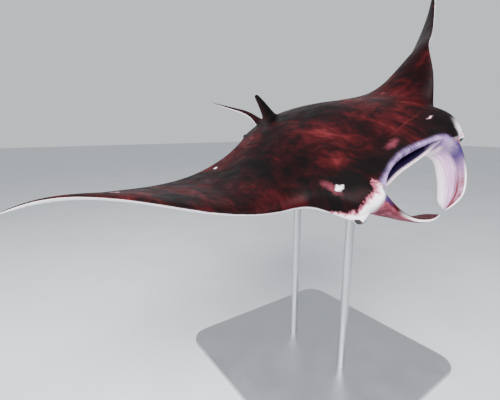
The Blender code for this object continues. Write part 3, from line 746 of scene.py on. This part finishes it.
waver = times(tree, minus(tree, noise(tree, body, 22.0), 0.5), WAVER)
slit_place = plus(tree, x, times(tree, minus(tree, out, GILL_INNER), GILL_SLANT))
slit_wave = combine(tree, "SINE", times(tree, slit_place, math.tau / GILL_SPACING))
gill_region = spot(tree, pair(tree, x, out), (-0.155, 0.052, 0.0), (0.062, 0.026, 1.0), 0.08)
slits = times(tree, ramp(tree, slit_wave, 0.88, 0.97), gill_region)
blotches = times(tree, ramp(tree, noise(tree, body, 48.0, 1.0), 0.68, 0.72),
                 ramp(tree, x, -0.2, -0.26))
belly = lay_over(tree, WHITE, BLUSH, ramp(tree, noise(tree, body, 16.0), 0.5, 0.75, 0.3))
belly = lay_over(tree, belly, MAROON, slits)
belly = lay_over(tree, belly, MAROON, blotches)
tail_side = times(tree, ramp(tree, tail, 0.0, 0.2), -0.75)
below = ramp(tree, plus(tree, plus(tree, side, waver), tail_side), 0.0, -0.3)
colour = lay_over(tree, back, belly, below)
print("belly laid under the back")

# %% Marks and painted highlights: (centre, half sizes, colour, softness, strength), with frayed rims
FRAY_AHEAD, FRAY_SIDEWAYS = 0.012, 0.016
MARKS_AND_HIGHLIGHTS = (
    # the right shoulder's dusky smear and its white spot
    ((-0.079, -0.119, 0.03), (0.014, 0.004, 0.02), DUSK, 0.9, 0.8),
    ((-0.07, -0.113, 0.032), (0.0045, 0.0036, 0.02), WHITE, 0.5, 1.0),
    # small spots on the right wing and by the left wing's root
    ((-0.319, -0.175, 0.015), (0.004, 0.005, 0.02), WHITE, 0.4, 1.0),
    ((-0.228, -0.348, 0.113), (0.003, 0.004, 0.02), BLUSH, 0.4, 1.0),
    ((-0.201, 0.156, 0.03), (0.004, 0.004, 0.02), ROSE, 0.5, 1.0),
    # an oval over the mouth, the left shoulder's bar, and a faint painted highlight along the ridge behind
    # the head
    ((-0.075, 0.007, 0.033), (0.0045, 0.011, 0.02), DUSK, 0.95, 0.75),
    ((-0.071, 0.092, 0.035), (0.0024, 0.006, 0.02), BLUSH, 0.7, 1.0),
    # painted highlight: faint rose light along the crest behind the head
    ((-0.088, 0.06, 0.05), (0.002, 0.03, 0.03), ROSE, 0.95, 0.3),
    # the pale bulge over the left eye: its white skin, with a painted highlight on the bulge
    ((-0.045, 0.113, 0.008), (0.026, 0.012, 0.013), WHITE, 0.7, 1.0))

fray_x = times(tree, minus(tree, noise(tree, body, 130.0, 3.0), 0.5), FRAY_AHEAD)
fray_y = times(tree, minus(tree, noise(tree, body, 90.0, 3.0), 0.5), FRAY_SIDEWAYS)
frayed = add_node(tree, "ShaderNodeVectorMath", {0: body, 1: pair(tree, fray_x, fray_y)},
                  operation="ADD").outputs[0]
for centre, size, paint, soft, strength in MARKS_AND_HIGHLIGHTS:
    mask = times(tree, spot(tree, frayed, centre, size, soft), strength)
    colour = lay_over(tree, colour, paint, mask)
print("marks:", len(MARKS_AND_HIGHLIGHTS))

# %% The side of the head: white below a curved border that falls from the mouth to the wing
BORDER_TOP, BORDER_OUT, BORDER_FALL = 0.0245, 0.072, 5.5
BORDER_WAVER, BORDER_RAGGED, LEFT_DROP = 0.018, 0.016, 0.012

fall = times(tree, combine(tree, "POWER", minus(tree, out, BORDER_OUT), 2.0), BORDER_FALL)
border = minus(tree, minus(tree, BORDER_TOP, fall), z)
border = plus(tree, border, times(tree, waver, BORDER_WAVER))
ragged = minus(tree, noise(tree, body, 130.0, 5.0, 0.65), 0.5)
border = plus(tree, border, times(tree, ragged, BORDER_RAGGED))
border = minus(tree, border, ramp(tree, y, -0.02, 0.02, LEFT_DROP))
head_side = times(tree, ramp(tree, out, 0.064, 0.074), ramp(tree, x, -0.105, -0.075))
colour = lay_over(tree, colour, PINK, times(tree, head_side, ramp(tree, border, -0.003, 0.002)))
colour = lay_over(tree, colour, WHITE, times(tree, head_side, ramp(tree, border, 0.0, 0.005)))
print("head's side laid over the marks")

# %% The mouth: a ribbed lavender pad above, a slot darkened deeper in by painted shade, and a pale lower lip
RIB_COUNT = 12.0

ribs = noise(tree, pair(tree, times(tree, across, RIB_COUNT), mouth), 3.0, 5.0, 0.7)
pad = lay_over(tree, LAVENDER, VIOLET, ramp(tree, noise(tree, body, 52.0, 3.0), 0.4, 0.65, 0.75))
pad = lay_over(tree, pad, WHITE, ramp(tree, ribs, 0.52, 0.72, 0.75))
pad = lay_over(tree, pad, LAVENDER, ramp(tree, size_of(tree, across), 0.86, 0.97))
lip = lay_over(tree, BLUSH, WHITE, ramp(tree, ribs, 0.4, 0.6))
pad = lay_over(tree, pad, lip, ramp(tree, along, -0.2, -0.5))
# painted shade: dark navy deeper in the mouth, where the slot lies in shadow
pad = lay_over(tree, pad, THROAT_SHADE, ramp(tree, mouth, 0.28, 0.42))
in_mouth = ramp(tree, mouth, 0.0, 0.12)
colour = lay_over(tree, colour, pad, in_mouth)
print("mouth painted from rim to throat")

# %% The lobes: pale streaks and violet within, darkened by painted shade within the right one, dusky pink outside, with a bright rim
FAN_STREAKS = 5.0

fan = noise(tree, pair(tree, times(tree, along, FAN_STREAKS), lobe), 2.2, 5.0, 0.65, 0.3)
inner = lay_over(tree, LILAC, PEARL, ramp(tree, fan, 0.46, 0.6, 0.85))
upper_front = times(tree, ramp(tree, along, 0.2, 0.75), ramp(tree, lobe, 0.75, 0.2))
inner = lay_over(tree, inner, VIOLET, upper_front)
lower_front = times(tree, ramp(tree, along, 0.1, 0.6), ramp(tree, lobe, 0.35, 0.65))
inner = lay_over(tree, inner, DUSK, times(tree, lower_front, ramp(tree, fan, 0.78, 0.5)))
inner = lay_over(tree, inner, WHITE, ramp(tree, along, -0.15, -0.7, 0.8))
# painted shade: the right lobe's inner face is turned away from the light, so it is darkened to dark red
right_lobe_shade = times(tree, ramp(tree, y, 0.01, -0.01), ramp(tree, lobe, 0.05, 0.3))
inner = lay_over(tree, inner, RED, right_lobe_shade)
outer = lay_over(tree, DUSK, PINK, ramp(tree, noise(tree, body, 75.0, 8.0, 0.7), 0.4, 0.75, 0.8))
lobe_colour = lay_over(tree, inner, outer, ramp(tree, across, 0.1, 0.5))
lobe_rim = greater(tree, ramp(tree, size_of(tree, along), 0.9, 0.98), ramp(tree, lobe, 0.97, 1.0))
lobe_rim = times(tree, lobe_rim, ramp(tree, size_of(tree, across), 0.6, 0.3))
lobe_rim = times(tree, lobe_rim, ramp(tree, lobe, 0.3, 0.6))
lobe_colour = lay_over(tree, lobe_colour, WHITE, lobe_rim)
on_lobe = ramp(tree, lobe, 0.0, 0.1)
colour = lay_over(tree, colour, lobe_colour, on_lobe)
print("lobes painted")

# %% The left corner of the mouth: the pad's lavender runs round it to a greyer palate
corner = spot(tree, frayed, (-0.037, 0.066, 0.013), (0.014, 0.013, 0.009), 0.5)
colour = lay_over(tree, colour, LAVENDER, corner)
palate = spot(tree, frayed, (-0.036, 0.064, 0.01), (0.02, 0.014, 0.016), 0.5)
colour = lay_over(tree, colour, PALATE, times(tree, palate, greater(tree, in_mouth, on_lobe)))
print("corner of the mouth painted")

# %% Join the colours to the shader, with folds, slits and a fine grain as bump
GRAIN_HEIGHT, FOLD_HEIGHT, RIB_HEIGHT, SLIT_DEPTH = 0.2, 0.8, 2.0, 3.0
BUMP_STRENGTH, BUMP_DISTANCE = 0.3, 0.005
ROUGHNESS_LOW, ROUGHNESS_RANGE = 0.42, 0.16

grain = times(tree, noise(tree, body, 620.0, 3.0, 0.6), GRAIN_HEIGHT)
folds = times(tree, noise(tree, body, 70.0, 4.0, 0.55), FOLD_HEIGHT)
rib_relief = times(tree, times(tree, ribs, RIB_HEIGHT), ramp(tree, mouth, 0.0, 0.2))
height = plus(tree, plus(tree, grain, folds), rib_relief)
height = minus(tree, height, times(tree, slits, SLIT_DEPTH))
bump = add_node(tree, "ShaderNodeBump", {"Strength": BUMP_STRENGTH, "Distance": BUMP_DISTANCE,
                                         "Height": height})
wetness = ramp(tree, noise(tree, body, 40.0), 0.3, 0.7, ROUGHNESS_RANGE)
tree.links.new(colour, hide_shader.inputs["Base Color"])
tree.links.new(plus(tree, wetness, ROUGHNESS_LOW), hide_shader.inputs["Roughness"])
tree.links.new(bump.outputs[0], hide_shader.inputs["Normal"])
skin.data.materials.clear()
skin.data.materials.append(hide)
print("hide nodes:", len(tree.nodes))

# %% [markdown]
# ## The eyes
#
# The eyeball is a dark glossy ball with a wide black pupil in a brown ring. The pupil is a mask on how
# far a point lies towards the way the eye looks. Taking y without its sign lets one material serve both
# eyes.

# %% Eye material
PUPIL, IRIS, IRIS_FLECK = (0.003, 0.003, 0.004), (0.03, 0.014, 0.01), (0.1, 0.05, 0.035)
EYE_ROUGHNESS, EYE_SHINE, EYE_COAT = 0.1, 0.3, 0.3
EYE_PLACE = (-0.038, 0.115, -0.005)

glossy, tree, eye_shader = new_material("eye", EYE_ROUGHNESS)
eye_shader.inputs["Coat Weight"].default_value = EYE_COAT
eye_shader.inputs["Specular IOR Level"].default_value = EYE_SHINE
body = body_place(tree)
x, y, z = add_node(tree, "ShaderNodeSeparateXYZ", {0: body}).outputs
mirrored = add_node(tree, "ShaderNodeCombineXYZ", {0: x, 1: size_of(tree, y), 2: z}).outputs[0]
away = add_node(tree, "ShaderNodeVectorMath", {0: mirrored, 1: EYE_PLACE}, operation="SUBTRACT").outputs[0]
towards = LOOKS["eye_left"].normalized() * DISC_WIDTH / eyes["eye_left"][1]
facing = add_node(tree, "ShaderNodeVectorMath", {0: away, 1: towards},
                  operation="DOT_PRODUCT").outputs["Value"]
iris = lay_over(tree, IRIS, IRIS_FLECK, ramp(tree, noise(tree, body, 900.0, 3.0), 0.4, 0.7))
iris = lay_over(tree, iris, PUPIL, ramp(tree, facing, 0.84, 0.88))
iris = lay_over(tree, iris, PUPIL, ramp(tree, facing, 0.66, 0.6))
tree.links.new(iris, eye_shader.inputs["Base Color"])
for name in eyes:
    dress(name, glossy)
print("eye radius", round(eyes["eye_left"][1], 4))

# %% [markdown]
# ## The stand
#
# The stand is plain satin steel. Its grain is a noise drawn out upwards, so it runs along the rods and
# looks blasted on the flat plate. The grain changes the tone, the roughness and the height.

# %% Steel for base and rods
STEEL_LIGHT, STEEL_DARK = (0.6, 0.61, 0.63), (0.44, 0.45, 0.47)
STEEL_ROUGHNESS, GRAIN_ACROSS, GRAIN_ALONG = 0.3, 400.0, 4.0
steel, tree, steel_shader = new_material("stand_steel", STEEL_ROUGHNESS, metallic=1.0)
room = add_node(tree, "ShaderNodeTexCoord").outputs["Object"]
drawn = add_node(tree, "ShaderNodeMapping", {
    "Vector": room, "Scale": (GRAIN_ACROSS, GRAIN_ACROSS, GRAIN_ALONG)}).outputs[0]
grain = noise(tree, drawn, 1.0, 3.0, 0.6)
handled = noise(tree, room, 4.0)
tone = lay_over(tree, STEEL_DARK, STEEL_LIGHT, ramp(tree, grain, 0.3, 0.7))
dull = plus(tree, ramp(tree, grain, 0.3, 0.7, 0.12), ramp(tree, handled, 0.35, 0.65, 0.12))
relief = add_node(tree, "ShaderNodeBump", {"Strength": 0.15, "Distance": 0.0006, "Height": grain})
tree.links.new(tone, steel_shader.inputs["Base Color"])
tree.links.new(plus(tree, dull, STEEL_ROUGHNESS), steel_shader.inputs["Roughness"])
tree.links.new(relief.outputs[0], steel_shader.inputs["Normal"])
for name in ("stand_base", "stand_rod_front", "stand_rod_rear"):
    dress(name, steel)
print("steel on base and rods")

# %% [markdown]
# ## Floor and light
#
# A large pale floor and soft light from above show the form without harsh shadows. The large key light
# stands above the camera, a weaker one fills in from the other side, and the world is a plain pale grey.

# %% Floor
FLOOR_SIZE, FLOOR_ROUGHNESS = 60, 0.8
FLOOR_TONES = (0.6, 0.62, 0.65), (0.64, 0.66, 0.69)

bpy.ops.object.select_all(action="DESELECT")
bpy.ops.mesh.primitive_plane_add(size=FLOOR_SIZE)
floor = bpy.context.object
floor.name = "floor"
pale, tree, floor_shader = new_material("pale_floor", FLOOR_ROUGHNESS)
room = add_node(tree, "ShaderNodeTexCoord").outputs["Object"]
clouds = ramp(tree, noise(tree, room, 1.5), 0.3, 0.7)
tree.links.new(lay_over(tree, *FLOOR_TONES, clouds), floor_shader.inputs["Base Color"])
floor.data.materials.append(pale)
print("floor", FLOOR_SIZE, "m wide")

# %% Lights and world
LIGHTS = (("key", (-2.2, -2.2, 4.2), 3.5, 580.0), ("fill", (-4.5, 0.5, 2.0), 3.0, 150.0))
LIT_PLACE = Vector((0, 0, 1.3))
WORLD_COLOUR, WORLD_STRENGTH = (0.8, 0.83, 0.87, 1.0), 0.9

for name, place, size, power in LIGHTS:
    bpy.ops.object.light_add(type="AREA", location=place)
    light = bpy.context.object
    light.name, light.data.size, light.data.energy = name, size, power
    light.rotation_euler = (LIT_PLACE - Vector(place)).to_track_quat("-Z", "Y").to_euler()
world = bpy.data.worlds.new("studio")
bpy.context.scene.world = world
world.use_nodes = True
background = world.node_tree.nodes["Background"]
background.inputs["Color"].default_value = WORLD_COLOUR
background.inputs["Strength"].default_value = WORLD_STRENGTH
print("lights:", [name for name, *rest in LIGHTS])
